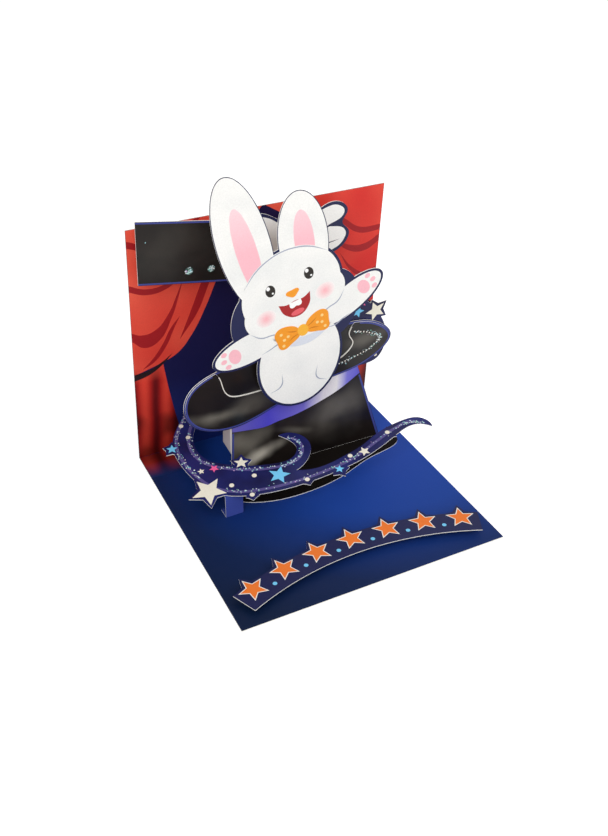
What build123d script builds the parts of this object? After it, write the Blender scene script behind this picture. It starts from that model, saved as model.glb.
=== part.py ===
# A pop-up card, standing open: a folded board, a folded hat, and die-cut layers on folded strips.
# Origin: the middle of the floor panel's underside. +X is to the right, +Y to the back, +Z up.
import os
from math import cos, degrees, radians, sin, sqrt, tan

from build123d import *

# Board of the card, in millimetres and degrees
CARD_WIDTH = 130.0
FLOOR_DEPTH = 130.0
BACK_HEIGHT = 130.0
BOARD = 0.6
OPEN_ANGLE = 85.0

# Die-cut sheets and the folded strips that carry them
SHEET = 0.4
PRINT_MARGIN = 2.0
GLUE_FLAP = 9.0

# Hat: distances are from the fold, heights from the floor
HAT_DISTANCE = 35.4
HAT_X = 0.3
BRIM_WIDTH = 107.7
BRIM_DEPTH = 45.3
BRIM_HEIGHT = 54.6
LIP_INSET = 0.7
CROWN_X = 12.2
CROWN_FOOT_WIDTH = 83.5
CROWN_HEIGHT = 58.0
CROWN_FLARE = 18.7
CROWN_FLAP_DEPTH = 26.8
SIDE_FLAP_DEPTH = 11.0
SIDE_FLAP_FOOT = 15.0
SIDE_FLAP_TOP = 52.0
HAT_BRACE_WIDTH = 16.0
HAT_BRACE_SPACING = 34.0
HAT_BRACE_X = 5.0
HAT_BRACE_HEIGHT = 28.0

# Rabbit
RABBIT_X = 3.0
RABBIT_GAP = 3.0
RABBIT_BOTTOM = 41.0
BODY_WIDTH = 40.0
BODY_HEIGHT = 50.0
HEAD_WIDTH = 47.0
HEAD_HEIGHT = 43.0
HEAD_OVERLAP = 7.0
HEAD_TILT = 16.0
CHEEK_WIDTH = 20.0
CHEEK_SPREAD = 29.0
CHEEK_DROP = 7.3
LEFT_EAR_LENGTH = 66.0
RIGHT_EAR_LENGTH = 46.0
EAR_WIDTH = 20.0
EAR_ROOT = 22.5
LEFT_EAR_X = -15.0
RIGHT_EAR_X = 11.0
LEFT_EAR_TILT = 1.0
RIGHT_EAR_TILT = 5.0
FORELEG_LENGTH = 35.0
FORELEG_WIDTH = 14.0
RESTING_REACH = 25.0
RESTING_LIFT = 13.0
RESTING_TILT = 72.0
WAVING_REACH = 24.0
WAVING_LIFT = 27.5
WAVING_TILT = 55.0
LEFT_WEB_REACH = 20.0
RIGHT_WEB_REACH = 14.0
WEB_WIDTH = 26.0
WEB_HEIGHT = 34.0
RABBIT_RISER_WIDTH = 26.0
RABBIT_RISER_RISE = 3.0

# Swirl: a nearly level sheet, from the top of its leg to the back panel
SWIRL_LEG_GAP = 9.45
SWIRL_LEG_DISTANCE = 62.0
SWIRL_LEG_HEIGHT = 12.3
SWIRL_LEG_WIDTH = 8.8
SWIRL_LEG_FOOT = 6.0
SWIRL_SLOPE = 9.8
SWIRL_ROLL = 5.5
SWIRL_WIDTH = 120.0
SWIRL_TAB_START = 5.5
SWIRL_TAB_WIDTH = 7.5
SWIRL_TAB_HEIGHT = 8.0
STAR_MARGIN = 1.8
SWIRL_STAR_RADIUS = 8.4

# Star spray
SPRAY_WIDTH = 27.0
SPRAY_HEIGHT = 43.0
SPRAY_STAR_RADIUS = 5.5
SPRAY_STAR_TURN = 39.0

# Sleeve and glove
SLEEVE_DISTANCE = 8.0
SLEEVE_LENGTH = 46.0
SLEEVE_WIDTH = 31.7
SLEEVE_DROP = 8.7
SLEEVE_FALL = 7.8
SLEEVE_INSET = 2.0
GLOVE_LENGTH = 59.0
GLOVE_WIDTH = 34.0
ARM_RISER_WIDTH = 12.0
ARM_RISER_DROP = 22.0
ARM_RISER_REACH = 43.0
ARM_RISER_SPACING = 56.0

# Banner
BANNER_RADIUS = 140.0
BANNER_BAND = 12.5
BANNER_SPAN = 127.0
BANNER_FRONT = 17.0
BANNER_RAISE = 3.0
BANNER_STAR_COUNT = 7
BANNER_STAR_RADIUS = 7.0
BANNER_STAR_RISE = 9.2
BANNER_STAR_INSET = 8.5
BANNER_RISER_WIDTH = 8.0
BANNER_RISER_SPACING = 70.0
BANNER_RISER_FLAP = 6.0

# Places worked out from the sizes
LEAN = radians(90 - OPEN_ANGLE)
FOLD_Y = FLOOR_DEPTH / 2
CREASE_Y = FOLD_Y - HAT_DISTANCE
CROWN_LEFT = CROWN_X - CROWN_FOOT_WIDTH / 2
CROWN_RIGHT = CROWN_X + CROWN_FOOT_WIDTH / 2
SWIRL_LEG_X = CROWN_LEFT - SWIRL_LEG_GAP


def upright(distance):
    """Plane parallel to the back panel, its foot this far from the fold, facing the reader."""
    foot = (0, FOLD_Y - distance, BOARD)
    return Plane(origin=foot, x_dir=(1, 0, 0), z_dir=(0, -cos(LEAN), -sin(LEAN)))


def on_upright(distance, height):
    """Y and Z of a point this high on an upright plane."""
    return FOLD_Y - distance - height * sin(LEAN), BOARD + height * cos(LEAN)


def layer_distance(sheets, gap=0.0):
    """Distance from the fold of a face this many sheets, and a gap, in front of the crown's back."""
    return HAT_DISTANCE + (sheets * SHEET + gap) / cos(LEAN)


def stretched(outline, middle, width, height):
    """An outline drawn in shares of its width and height, at its real size about its middle."""
    return [(middle[0] + x * width, middle[1] + y * height) for x, y in outline]


def folded_strip(profile, width, middle_x, side=Side.RIGHT):
    """A strip of sheet, folded along its Y and Z profile, this wide in X."""
    with BuildPart() as strip:
        with BuildSketch(Plane.YZ.offset(middle_x - width / 2)):
            with BuildLine():
                Polyline(*profile)
                offset(amount=SHEET, kind=Kind.INTERSECTION, side=side, closed=True)
            make_face()
        extrude(amount=width)
    return strip.part


def bridge_profile(near, far, height):
    """Profile of a strip between two upright faces, with a glue flap up each of them."""
    top = height + GLUE_FLAP
    return [on_upright(near, top), on_upright(near, height), on_upright(far, height), on_upright(far, top)]


def star_pad(radius, turn):
    """The ten corners of a five-pointed star with its printed margin, its first tip at this angle."""
    waist_share = 0.45
    corners = []
    for k in range(10):
        reach = STAR_MARGIN + radius * (waist_share if k % 2 else 1.0)
        angle = radians(turn + 36 * k)
        corners.append((reach * cos(angle), reach * sin(angle)))
    return corners


def save(solid, name):
    """Label a finished piece and write it as its own file."""
    solid.label = name
    export_step(solid, f"parts/{name}.step")


os.makedirs("parts", exist_ok=True)

# Card: floor panel and back panel, one folded board
with BuildPart() as card:
    with BuildSketch(Plane.YZ.offset(-CARD_WIDTH / 2)):
        with BuildLine():
            Polyline((-FLOOR_DEPTH / 2, BOARD), on_upright(0, 0), on_upright(0, BACK_HEIGHT))
            offset(amount=BOARD, kind=Kind.INTERSECTION, side=Side.RIGHT, closed=True)
        make_face()
    extrude(amount=CARD_WIDTH)
save(card.part, "card")

# Hat crown: front panel, flap on the floor and side flap, one folded sheet
CROWN_TOP_RIGHT = CROWN_RIGHT - CROWN_HEIGHT * tan(radians(CROWN_FLARE))
crown_flap = [
    (0.5, 0.0), (0.575, 0.09), (0.585, 0.24), (0.36, 0.575), (0.11, 0.85),
    (-0.23, 1.0), (-0.44, 0.885), (-0.575, 0.55), (-0.56, 0.2), (-0.5, 0.0),
]
with BuildPart() as hat_crown:
    with BuildSketch(upright(HAT_DISTANCE)):
        with BuildLine():
            Polyline(
                (CROWN_LEFT, SHEET / 2), (CROWN_RIGHT, SHEET / 2),
                (CROWN_TOP_RIGHT, CROWN_HEIGHT), (CROWN_LEFT, CROWN_HEIGHT), close=True,
            )
        make_face()
    extrude(amount=SHEET)
    with BuildSketch(Plane.XY.offset(BOARD)):
        with BuildLine():
            edge = Spline(*stretched(crown_flap, (CROWN_X, CREASE_Y), CROWN_FOOT_WIDTH, -CROWN_FLAP_DEPTH))
            Line(edge @ 1, edge @ 0)
        make_face()
    extrude(amount=SHEET)
    with BuildSketch(upright(HAT_DISTANCE).offset(SHEET)):
        with Locations((CROWN_LEFT, SIDE_FLAP_FOOT)):
            Rectangle(SHEET, SIDE_FLAP_TOP - SIDE_FLAP_FOOT, align=(Align.MIN, Align.MIN))
    extrude(amount=-SIDE_FLAP_DEPTH)
save(hat_crown.part, "hat_crown")

# Hat brim: the far half behind, and the near lip with the mouth of the hat cut out of it
brim_outline = [
    (-0.5, -0.08), (-0.462, 0.14), (-0.374, 0.263), (-0.188, 0.352), (0.044, 0.45), (0.257, 0.5),
    (0.424, 0.417), (0.5, 0.207), (0.415, -0.029), (0.174, -0.179), (-0.059, -0.349), (-0.263, -0.5),
    (-0.42, -0.42),
]
mouth_outline = [
    (-0.355, 0.262), (-0.33, 0.163), (-0.318, 0.053), (-0.29, -0.051), (-0.226, -0.086), (-0.096, -0.075),
    (0.053, -0.031), (0.201, 0.035), (0.285, 0.152), (0.3, 0.23), (0.278, 0.34), (0.285, 0.428),
    (0.322, 0.517),
]
brim_middle = (HAT_X, BRIM_HEIGHT)
with BuildPart() as hat_back_brim:
    with BuildSketch(upright(HAT_DISTANCE).offset(SHEET)):
        with BuildLine():
            Spline(*stretched(brim_outline, brim_middle, BRIM_WIDTH, BRIM_DEPTH), periodic=True)
        make_face()
    extrude(amount=SHEET)
save(hat_back_brim.part, "hat_back_brim")

with BuildPart() as hat_front_lip:
    with BuildSketch(upright(HAT_DISTANCE).offset(2 * SHEET)):
        with BuildLine():
            lip_size = (BRIM_WIDTH - 2 * LIP_INSET, BRIM_DEPTH - 2 * LIP_INSET)
            Spline(*stretched(brim_outline, brim_middle, *lip_size), periodic=True)
        make_face()
        with BuildLine():
            mouth = Spline(*stretched(mouth_outline, brim_middle, BRIM_WIDTH, BRIM_DEPTH))
            above = BRIM_HEIGHT + BRIM_DEPTH
            Polyline(mouth @ 1, ((mouth @ 1).X, above), ((mouth @ 0).X, above), mouth @ 0)
        make_face(mode=Mode.SUBTRACT)
    extrude(amount=SHEET)
save(hat_front_lip.part, "hat_front_lip")

# Hat braces: two strips that hold the crown off the back panel
for name, step in (("hat_brace_left", -0.5), ("hat_brace_right", 0.5)):
    brace_x = HAT_BRACE_X + step * HAT_BRACE_SPACING
    brace = folded_strip(bridge_profile(0, HAT_DISTANCE, HAT_BRACE_HEIGHT), HAT_BRACE_WIDTH, brace_x)
    save(brace, name)

# Rabbit: rounded parts and a web of margin joined in one sheet, the head nodding to the left
BODY_MIDDLE = RABBIT_BOTTOM + BODY_HEIGHT / 2
NECK = RABBIT_BOTTOM + BODY_HEIGHT - HEAD_OVERLAP
HEAD_MIDDLE = NECK + HEAD_HEIGHT / 2
EAR_FOOT = HEAD_MIDDLE + HEAD_HEIGHT / 2 - EAR_ROOT
rabbit_ovals = [
    (0, BODY_MIDDLE, BODY_WIDTH, BODY_HEIGHT, 0),
    (-RESTING_REACH, BODY_MIDDLE + RESTING_LIFT, FORELEG_WIDTH, FORELEG_LENGTH, -RESTING_TILT),
    (WAVING_REACH, BODY_MIDDLE + WAVING_LIFT, FORELEG_WIDTH, FORELEG_LENGTH, -WAVING_TILT),
    (-LEFT_WEB_REACH, NECK + WEB_HEIGHT / 4, WEB_WIDTH, WEB_HEIGHT, 0),
    (RIGHT_WEB_REACH, NECK + WEB_HEIGHT / 4, WEB_WIDTH, WEB_HEIGHT, 0),
]
head_ovals = [(0, HEAD_MIDDLE, HEAD_WIDTH, HEAD_HEIGHT, 0)]
for cheek_x in (-CHEEK_SPREAD / 2, CHEEK_SPREAD / 2):
    head_ovals.append((cheek_x, HEAD_MIDDLE - CHEEK_DROP, CHEEK_WIDTH, CHEEK_WIDTH, 0))
left_ear = (LEFT_EAR_X, LEFT_EAR_LENGTH, LEFT_EAR_TILT)
right_ear = (RIGHT_EAR_X, RIGHT_EAR_LENGTH, -RIGHT_EAR_TILT)
for ear_x, ear_length, ear_tilt in (left_ear, right_ear):
    head_ovals.append((ear_x, EAR_FOOT + ear_length / 2, EAR_WIDTH, ear_length, ear_tilt))
nod = radians(HEAD_TILT)
for x, height, width, tall, tilt in head_ovals:
    above = height - NECK
    turned_x = x * cos(nod) - above * sin(nod)
    turned_height = NECK + x * sin(nod) + above * cos(nod)
    rabbit_ovals.append((turned_x, turned_height, width, tall, tilt + HEAD_TILT))
with BuildPart() as rabbit:
    with BuildSketch(upright(HAT_DISTANCE).offset(3 * SHEET + RABBIT_GAP)):
        for x, height, width, tall, tilt in rabbit_ovals:
            with Locations(Location((RABBIT_X + x, height), tilt)):
                Ellipse(width / 2 + PRINT_MARGIN, tall / 2 + PRINT_MARGIN)
    extrude(amount=SHEET)
save(rabbit.part, "rabbit")

# Rabbit riser: a strip in the hat's mouth, from the brim to the rabbit's back
riser_height = BRIM_HEIGHT + RABBIT_RISER_RISE
rabbit_bridge = bridge_profile(layer_distance(2), layer_distance(3, RABBIT_GAP), riser_height)
save(folded_strip(rabbit_bridge, RABBIT_RISER_WIDTH, RABBIT_X), "rabbit_riser")

# Swirl: a band that runs out from the back panel, round the hat and into a tail and a hook
slope = radians(SWIRL_SLOPE)
roll = radians(SWIRL_ROLL)
swirl_normal = Vector(-sin(roll) * cos(slope), -cos(roll) * sin(slope), cos(roll) * cos(slope))
swirl_origin = (SWIRL_LEG_X, FOLD_Y - SWIRL_LEG_DISTANCE, BOARD + SWIRL_LEG_HEIGHT)
swirl_plane = Plane(origin=swirl_origin, x_dir=(cos(roll), 0, sin(roll)), z_dir=swirl_normal)


def swirl_underside(x, distance):
    """Height above the floor of the swirl's underside."""
    rise = swirl_normal.X * (x - SWIRL_LEG_X) + swirl_normal.Y * (SWIRL_LEG_DISTANCE - distance)
    return SWIRL_LEG_HEIGHT - rise / swirl_normal.Z


def swirl_on_back(x):
    """Height up the back panel at which the swirl's underside meets it."""
    level = swirl_normal.Z * SWIRL_LEG_HEIGHT
    level -= swirl_normal.X * (x - SWIRL_LEG_X) + swirl_normal.Y * SWIRL_LEG_DISTANCE
    return level / (swirl_normal.Z * cos(LEAN) - swirl_normal.Y * sin(LEAN))


SWIRL_FRONT = SWIRL_LEG_DISTANCE - HAT_DISTANCE
# Edges in shares of the swirl's width and of its depth in front of the hat, from the top of the leg
band_end = (SWIRL_LEG_DISTANCE + GLUE_FLAP) / SWIRL_FRONT
outer_edge = [
    (0.042, band_end), (-0.035, 2.08), (-0.092, 1.78), (-0.127, 1.41), (-0.128, 1.01), (-0.112, 0.62),
    (-0.075, 0.22), (-0.008, -0.04), (0.083, -0.21), (0.258, -0.35), (0.383, -0.365), (0.52, -0.32),
    (0.707, -0.094), (0.807, -0.004), (0.872, -0.2),
]
tail_edge = [
    outer_edge[-1], (0.872, -0.03), (0.842, 0.132), (0.796, 0.184), (0.731, 0.177), (0.647, 0.109),
    (0.569, -0.015), (0.475, -0.098), (0.375, -0.143), (0.268, -0.011),
]
hook_outside = [
    tail_edge[-1], (0.353, 0.214), (0.379, 0.432), (0.372, 0.677), (0.337, 0.85), (0.285, 0.887),
]
hook_inside = [
    hook_outside[-1], (0.312, 0.7), (0.322, 0.481), (0.3, 0.335), (0.258, 0.271), (0.197, 0.316),
    (0.108, 0.47), (0.029, 0.695), (-0.025, 0.94), (-0.042, 1.2), (-0.037, 1.45), (-0.01, 1.71),
    (0.045, 1.99), (0.133, band_end),
]
# Place, share of the large star's radius, and turn of each star that reaches past the band's edge
star_pads = [
    (-0.082, 0.248, 1.0, 38), (-0.129, 1.462, 0.35, 70), (0.089, 0.594, 0.43, 66), (0.421, -0.346, 0.38, 60),
    (0.283, -0.308, 0.19, 50), (0.06, -0.165, 0.19, 40), (0.696, 0.023, 0.29, 80),
]


def on_swirl(outline):
    """Points of the swirl at their real size, in its own plane."""
    return stretched(outline, (0, 0), SWIRL_WIDTH, SWIRL_FRONT)


with BuildPart() as swirl:
    with BuildSketch(swirl_plane):
        with BuildLine():
            for edge in (outer_edge, tail_edge, hook_outside, hook_inside):
                Spline(*on_swirl(edge))
            Line(*on_swirl([hook_inside[-1], outer_edge[0]]))
        make_face()
        for across, along, share, turn in star_pads:
            with Locations(*on_swirl([(across, along)])):
                Polygon(*star_pad(share * SWIRL_STAR_RADIUS, turn), align=None)
    extrude(amount=SHEET)
    split(bisect_by=upright(0), keep=Keep.TOP)
    with BuildSketch(upright(0)):
        left = SWIRL_LEG_X + SWIRL_TAB_START
        right = left + SWIRL_TAB_WIDTH
        with BuildLine():
            Polyline(
                (left, swirl_on_back(left)),
                (right, swirl_on_back(right)),
                (right, swirl_on_back(right) + SWIRL_TAB_HEIGHT),
                (left, swirl_on_back(left) + SWIRL_TAB_HEIGHT),
                close=True,
            )
        make_face()
    extrude(amount=SHEET)
save(swirl.part, "swirl")

# Swirl leg: a strip folded from the floor up to the swirl's underside
LEG_LEFT = SWIRL_LEG_X - SWIRL_LEG_WIDTH / 2
LEG_RIGHT = SWIRL_LEG_X + SWIRL_LEG_WIDTH / 2
LEG_Y = FOLD_Y - SWIRL_LEG_DISTANCE
with BuildPart() as swirl_leg:
    with BuildSketch(Plane.XZ.offset(-LEG_Y)):
        with BuildLine():
            Polyline(
                (LEG_LEFT, BOARD), (LEG_RIGHT, BOARD),
                (LEG_RIGHT, BOARD + swirl_underside(LEG_RIGHT, SWIRL_LEG_DISTANCE)),
                (LEG_LEFT, BOARD + swirl_underside(LEG_LEFT, SWIRL_LEG_DISTANCE)), close=True,
            )
        make_face()
    extrude(amount=-SHEET)
    with BuildSketch(Plane.XY.offset(BOARD)):
        with Locations((SWIRL_LEG_X, LEG_Y)):
            Rectangle(SWIRL_LEG_WIDTH, SWIRL_LEG_FOOT, align=(Align.CENTER, Align.MIN))
    extrude(amount=SHEET)
    with BuildSketch(swirl_plane):
        Rectangle(SWIRL_LEG_WIDTH, GLUE_FLAP, align=(Align.CENTER, Align.MIN))
    extrude(amount=-SHEET)
save(swirl_leg.part, "swirl_leg")

# Star spray: glued behind the crown's right edge, showing round the brim's right end
spray_outline = [
    (-0.389, -0.186), (0.13, -0.126), (0.474, -0.074), (0.611, 0.126), (0.574, 0.337), (0.463, 0.488),
    (0.222, 0.698), (-0.093, 0.802), (-0.315, 0.744), (-0.296, 0.512), (-0.37, 0.163),
]
spray_star = (0.337, 0.581)
spray_middle = (CROWN_RIGHT - BRIM_HEIGHT * tan(radians(CROWN_FLARE)), BRIM_HEIGHT)
with BuildPart() as star_spray:
    with BuildSketch(upright(HAT_DISTANCE)):
        with BuildLine():
            Spline(*stretched(spray_outline, spray_middle, SPRAY_WIDTH, SPRAY_HEIGHT), periodic=True)
        make_face()
        with Locations(*stretched([spray_star], spray_middle, SPRAY_WIDTH, SPRAY_HEIGHT)):
            Polygon(*star_pad(SPRAY_STAR_RADIUS, SPRAY_STAR_TURN), align=None)
    extrude(amount=-SHEET)
save(star_spray.part, "star_spray")

# Arm: sleeve and gloved hand, one die-cut sheet in front of the back panel
SLEEVE_LEFT = SLEEVE_INSET - CARD_WIDTH / 2
SLEEVE_RIGHT = SLEEVE_LEFT + SLEEVE_LENGTH
SLEEVE_HEIGHT = BACK_HEIGHT - SLEEVE_DROP
ARM_RISER_HEIGHT = BACK_HEIGHT - ARM_RISER_DROP
glove_outline = [
    (-0.05, -0.3), (-0.02, 0.33), (0.12, 0.5), (0.26, 0.46), (0.44, 0.28), (0.62, 0.28), (0.78, 0.44),
    (0.91, 0.44), (0.98, 0.27), (0.94, 0.12), (1.0, -0.02), (0.985, -0.2), (0.86, -0.35), (0.55, -0.46),
    (0.2, -0.5),
]
wrist = (SLEEVE_RIGHT, SLEEVE_HEIGHT - SLEEVE_FALL)
with BuildPart() as arm:
    with BuildSketch(upright(SLEEVE_DISTANCE)):
        with BuildLine():
            Polyline(
                (SLEEVE_LEFT, SLEEVE_HEIGHT - SLEEVE_WIDTH / 2), (SLEEVE_RIGHT, wrist[1] - SLEEVE_WIDTH / 2),
                (SLEEVE_RIGHT, wrist[1] + SLEEVE_WIDTH / 2), (SLEEVE_LEFT, SLEEVE_HEIGHT + SLEEVE_WIDTH / 2),
                close=True,
            )
        make_face()
        with BuildLine():
            Spline(*stretched(glove_outline, wrist, GLOVE_LENGTH, GLOVE_WIDTH), periodic=True)
        make_face()
    extrude(amount=SHEET)
save(arm.part, "arm")

for name, step in (("arm_riser_left", -0.5), ("arm_riser_right", 0.5)):
    riser_x = SLEEVE_LEFT + ARM_RISER_REACH + step * ARM_RISER_SPACING
    riser = folded_strip(bridge_profile(0, SLEEVE_DISTANCE, ARM_RISER_HEIGHT), ARM_RISER_WIDTH, riser_x)
    save(riser, name)

# Banner: an arched band with a row of stars along it, raised off the floor on two folded risers
BANNER_MIDDLE_Y = BANNER_FRONT - FLOOR_DEPTH / 2 - BANNER_RADIUS
star_line = BANNER_RADIUS + BANNER_STAR_RISE
band_outside = BANNER_RADIUS + BANNER_BAND
half_span = BANNER_SPAN / 2 / band_outside
half_row = half_span - BANNER_STAR_INSET / star_line


def banner_point(radius, turn):
    """A point of the arch at this radius, turned this far from the middle."""
    return radius * sin(turn), BANNER_MIDDLE_Y + radius * cos(turn)


with BuildPart() as banner:
    with BuildSketch(Plane.XY.offset(BOARD + BANNER_RAISE)):
        with BuildLine():
            turns = (-half_span, 0, half_span)
            inside = ThreePointArc(*[banner_point(BANNER_RADIUS, turn) for turn in turns])
            outside = ThreePointArc(*[banner_point(band_outside, turn) for turn in turns])
            Line(inside @ 0, outside @ 0)
            Line(inside @ 1, outside @ 1)
        make_face()
        for k in range(BANNER_STAR_COUNT):
            star_turn = half_row * (2 * k / (BANNER_STAR_COUNT - 1) - 1)
            with Locations(banner_point(star_line, star_turn)):
                Polygon(*star_pad(BANNER_STAR_RADIUS, 90 - degrees(star_turn)), align=None)
    extrude(amount=SHEET)
save(banner.part, "banner")

for name, hand in (("banner_riser_left", -1), ("banner_riser_right", 1)):
    riser_x = hand * BANNER_RISER_SPACING / 2
    riser_y = BANNER_MIDDLE_Y + sqrt((BANNER_RADIUS + BANNER_BAND / 2) ** 2 - riser_x**2)
    back_y = riser_y + BANNER_RISER_FLAP / 2
    front_y = riser_y - BANNER_RISER_FLAP / 2
    top = BOARD + BANNER_RAISE
    profile = [(back_y, BOARD), (front_y, BOARD), (front_y, top), (back_y, top)]
    save(folded_strip(profile, BANNER_RISER_WIDTH, riser_x), name)
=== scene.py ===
# %% [markdown]
# # A pop-up card, from plain sheets to print
#
# A pop-up card is a folded board with die-cut sheets glued inside it, on strips that fold flat when it shuts.
# The frame below holds the bare sheets, cut and folded. This lesson does the printer's work on them:
# inks, varnish, the white core along the cuts, and glitter. Then it lights the card as a small studio would.

# %% Load the frame
import math
import random

import bmesh
import bpy
from mathutils import Matrix, Vector


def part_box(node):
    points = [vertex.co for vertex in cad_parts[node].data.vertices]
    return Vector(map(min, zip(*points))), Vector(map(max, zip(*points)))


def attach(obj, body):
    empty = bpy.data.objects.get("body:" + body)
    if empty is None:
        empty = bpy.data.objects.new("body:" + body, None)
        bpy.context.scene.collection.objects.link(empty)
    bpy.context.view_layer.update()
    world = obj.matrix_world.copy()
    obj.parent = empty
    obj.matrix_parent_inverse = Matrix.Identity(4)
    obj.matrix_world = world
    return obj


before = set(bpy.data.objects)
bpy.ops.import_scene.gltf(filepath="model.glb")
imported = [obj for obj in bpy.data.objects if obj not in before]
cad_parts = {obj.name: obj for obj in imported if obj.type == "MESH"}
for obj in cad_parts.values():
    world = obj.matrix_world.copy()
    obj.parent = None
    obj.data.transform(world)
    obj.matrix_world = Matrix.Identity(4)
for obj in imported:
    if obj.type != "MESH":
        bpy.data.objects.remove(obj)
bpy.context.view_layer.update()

MM = 0.001

# %% [markdown]
# ## The planes of the sheets
#
# Every layer of an open pop-up card stays parallel to the panel that it folds with.
# So the hat, the rabbit and the arm all lean with the back panel, and a print on one of them is drawn flat,
# in millimetres across and up, and then laid on its sheet.

# %% Planes
BOARD, SHEET, FOLD_Y = 0.6, 0.4, 65.0
LEAN = math.radians(5)
HAT_DISTANCE, ARM_DISTANCE, RABBIT_GAP, BANNER_RAISE = 35.4, 8.0, 3.0, 3.0


def plane(origin, across, up):
    """Matrix of a plane from its origin in millimetres and its two directions."""
    across, up = Vector(across).normalized(), Vector(up).normalized()
    turn = Matrix((across, up, across.cross(up))).transposed().to_4x4()
    return Matrix.Translation(Vector(origin) * MM) @ turn


def upright(distance, lift):
    """Plane parallel to the back panel: its foot this far from the fold, then lifted towards the reader."""
    out = Vector((0, -math.cos(LEAN), -math.sin(LEAN)))
    foot = Vector((0, FOLD_Y - distance, BOARD))
    return plane(foot + lift * out, (1, 0, 0), (0, -math.sin(LEAN), math.cos(LEAN)))


def level(height):
    """Plane parallel to the floor panel."""
    return plane((0, 0, height), (1, 0, 0), (0, 1, 0))


BACK = upright(0, 0)
ARM = upright(ARM_DISTANCE, SHEET)
SPRAY = upright(HAT_DISTANCE, 0)
CROWN = upright(HAT_DISTANCE, SHEET)
BRIM = upright(HAT_DISTANCE, 2 * SHEET)
LIP = upright(HAT_DISTANCE, 3 * SHEET)
FLOOR = level(BOARD)
BANNER = level(BOARD + BANNER_RAISE + SHEET)
banner_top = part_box("banner")[1][2]
print("banner plane in mm:", round(BANNER.translation.z / MM, 2), "CAD top:", round(banner_top / MM, 2))

# %% [markdown]
# ## Two planes that turn
#
# The rabbit's head tilts sixteen degrees about its neck, so its face is drawn upright and turned as one.
# The swirl is the one sheet that is neither upright nor level: it runs down from the back panel to its leg
# and tips a little to the left.

# %% Head and swirl planes
RABBIT_X, NECK_HEIGHT, HEAD_TILT = 3.0, 84.0, math.radians(16)
RABBIT = upright(HAT_DISTANCE, 4 * SHEET + RABBIT_GAP) @ Matrix.Translation((RABBIT_X * MM, 0, 0))
neck = Matrix.Translation((0, NECK_HEIGHT * MM, 0))
HEAD = RABBIT @ neck @ Matrix.Rotation(HEAD_TILT, 4, "Z") @ neck.inverted()
slope, roll, swirl_foot = math.radians(9.8), math.radians(5.5), Vector((-39.0, 3.0, 12.9))
swirl_across = Vector((math.cos(roll), 0, math.sin(roll)))
swirl_out = Vector((
    -math.sin(roll) * math.cos(slope), -math.cos(roll) * math.sin(slope), math.cos(roll) * math.cos(slope),
)).normalized()
SWIRL = plane(swirl_foot + SHEET * swirl_out, swirl_across, swirl_out.cross(swirl_across))
print("swirl tips", round(math.degrees(swirl_out.angle(Vector((0, 0, 1)))), 1), "degrees from level")

# %% [markdown]
# ## Shapes to print
#
# A printed colour is a flat shape: an oval, a star, or a stroke that tapers as a brush does. Each is worked
# out from a few sizes. A point with a third value is a corner, and all others are passed through smoothly.

# %% Shapes
# Third value of a point that is a corner
C = True
MITRE_LIMIT = 0.45


def oval(x, y, width, height, tilt=0.0, count=16):
    """Points of an oval."""
    cos, sin = math.cos(math.radians(tilt)), math.sin(math.radians(tilt))
    points = []
    for k in range(count):
        a, b = width / 2 * math.cos(k * math.tau / count), height / 2 * math.sin(k * math.tau / count)
        points.append((x + a * cos - b * sin, y + a * sin + b * cos))
    return points


def star(x, y, radius, turn, waist=0.45):
    """Corners of a five-pointed star, its first tip at this angle."""
    points = []
    for k in range(10):
        reach = radius * (waist if k % 2 else 1.0)
        angle = math.radians(turn + 36 * k)
        points.append((x + reach * math.cos(angle), y + reach * math.sin(angle), C))
    return points


def sideways(points, k, closed):
    """Unit vector to the left of a line of points, and how far a corner stretches it."""
    here = Vector(points[k][:2])
    before = Vector(points[k - 1][:2]) if closed or k > 0 else None
    after = Vector(points[(k + 1) % len(points)][:2]) if closed or k < len(points) - 1 else None
    along_in = (here - before).normalized() if before else (after - here).normalized()
    along_out = (after - here).normalized() if after else along_in
    left = Vector((-along_in.y - along_out.y, along_in.x + along_out.x)).normalized()
    return left, 1 / max(MITRE_LIMIT, left.dot(Vector((-along_out.y, along_out.x))))


def stroke(points, width):
    """Outline of a line drawn with a brush: full in the middle, pointed at both ends."""
    left, right = [], []
    for k in range(1, len(points) - 1):
        side, stretch = sideways(points, k, False)
        here = Vector(points[k][:2])
        left.append(tuple(here + side * width / 2 * stretch))
        right.append(tuple(here - side * width / 2 * stretch))
    return [(*points[0][:2], C), *right, (*points[-1][:2], C), *reversed(left)]


print("a star has", len(star(0, 0, 5, 90)), "corners and an oval", len(oval(0, 0, 2, 1)), "points")

# %% [markdown]
# ## Lines along the die cut
#
# Some prints follow the knife, such as the violet line round the brim. Their shape is not drawn again:
# it is read from the edge of the sheet in the frame and moved inwards, so print and cut always agree.

# %% Die lines
SHORTEST_SIDE = 0.02


def die_line(name, sheet):
    """Cut edge of a sheet's printed face in the frame, as loops of points in the sheet's millimetres."""
    mesh, inverse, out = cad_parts[name].data, sheet.inverted(), sheet.col[2].xyz
    edges = set()
    for polygon in mesh.polygons:
        local = [inverse @ mesh.vertices[k].co for k in polygon.vertices]
        if polygon.normal.dot(out) > 0.99 and abs(local[0].z) < 0.05 * MM:
            # Whole micrometres, so that the points of neighbouring faces match
            keys = [(round(p.x * 1e6), round(p.y * 1e6)) for p in local]
            edges.update(zip(keys, keys[1:] + keys[:1]))
    border = {a: b for a, b in edges if (b, a) not in edges}
    loops = []
    while border:
        first = min(border)
        here = border.pop(first)
        loop = [first]
        while here != first:
            loop.append(here)
            here = border.pop(here)
        loops.append([(x / 1000, y / 1000, C) for x, y in loop])
    return sorted(loops, key=len, reverse=True)


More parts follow.
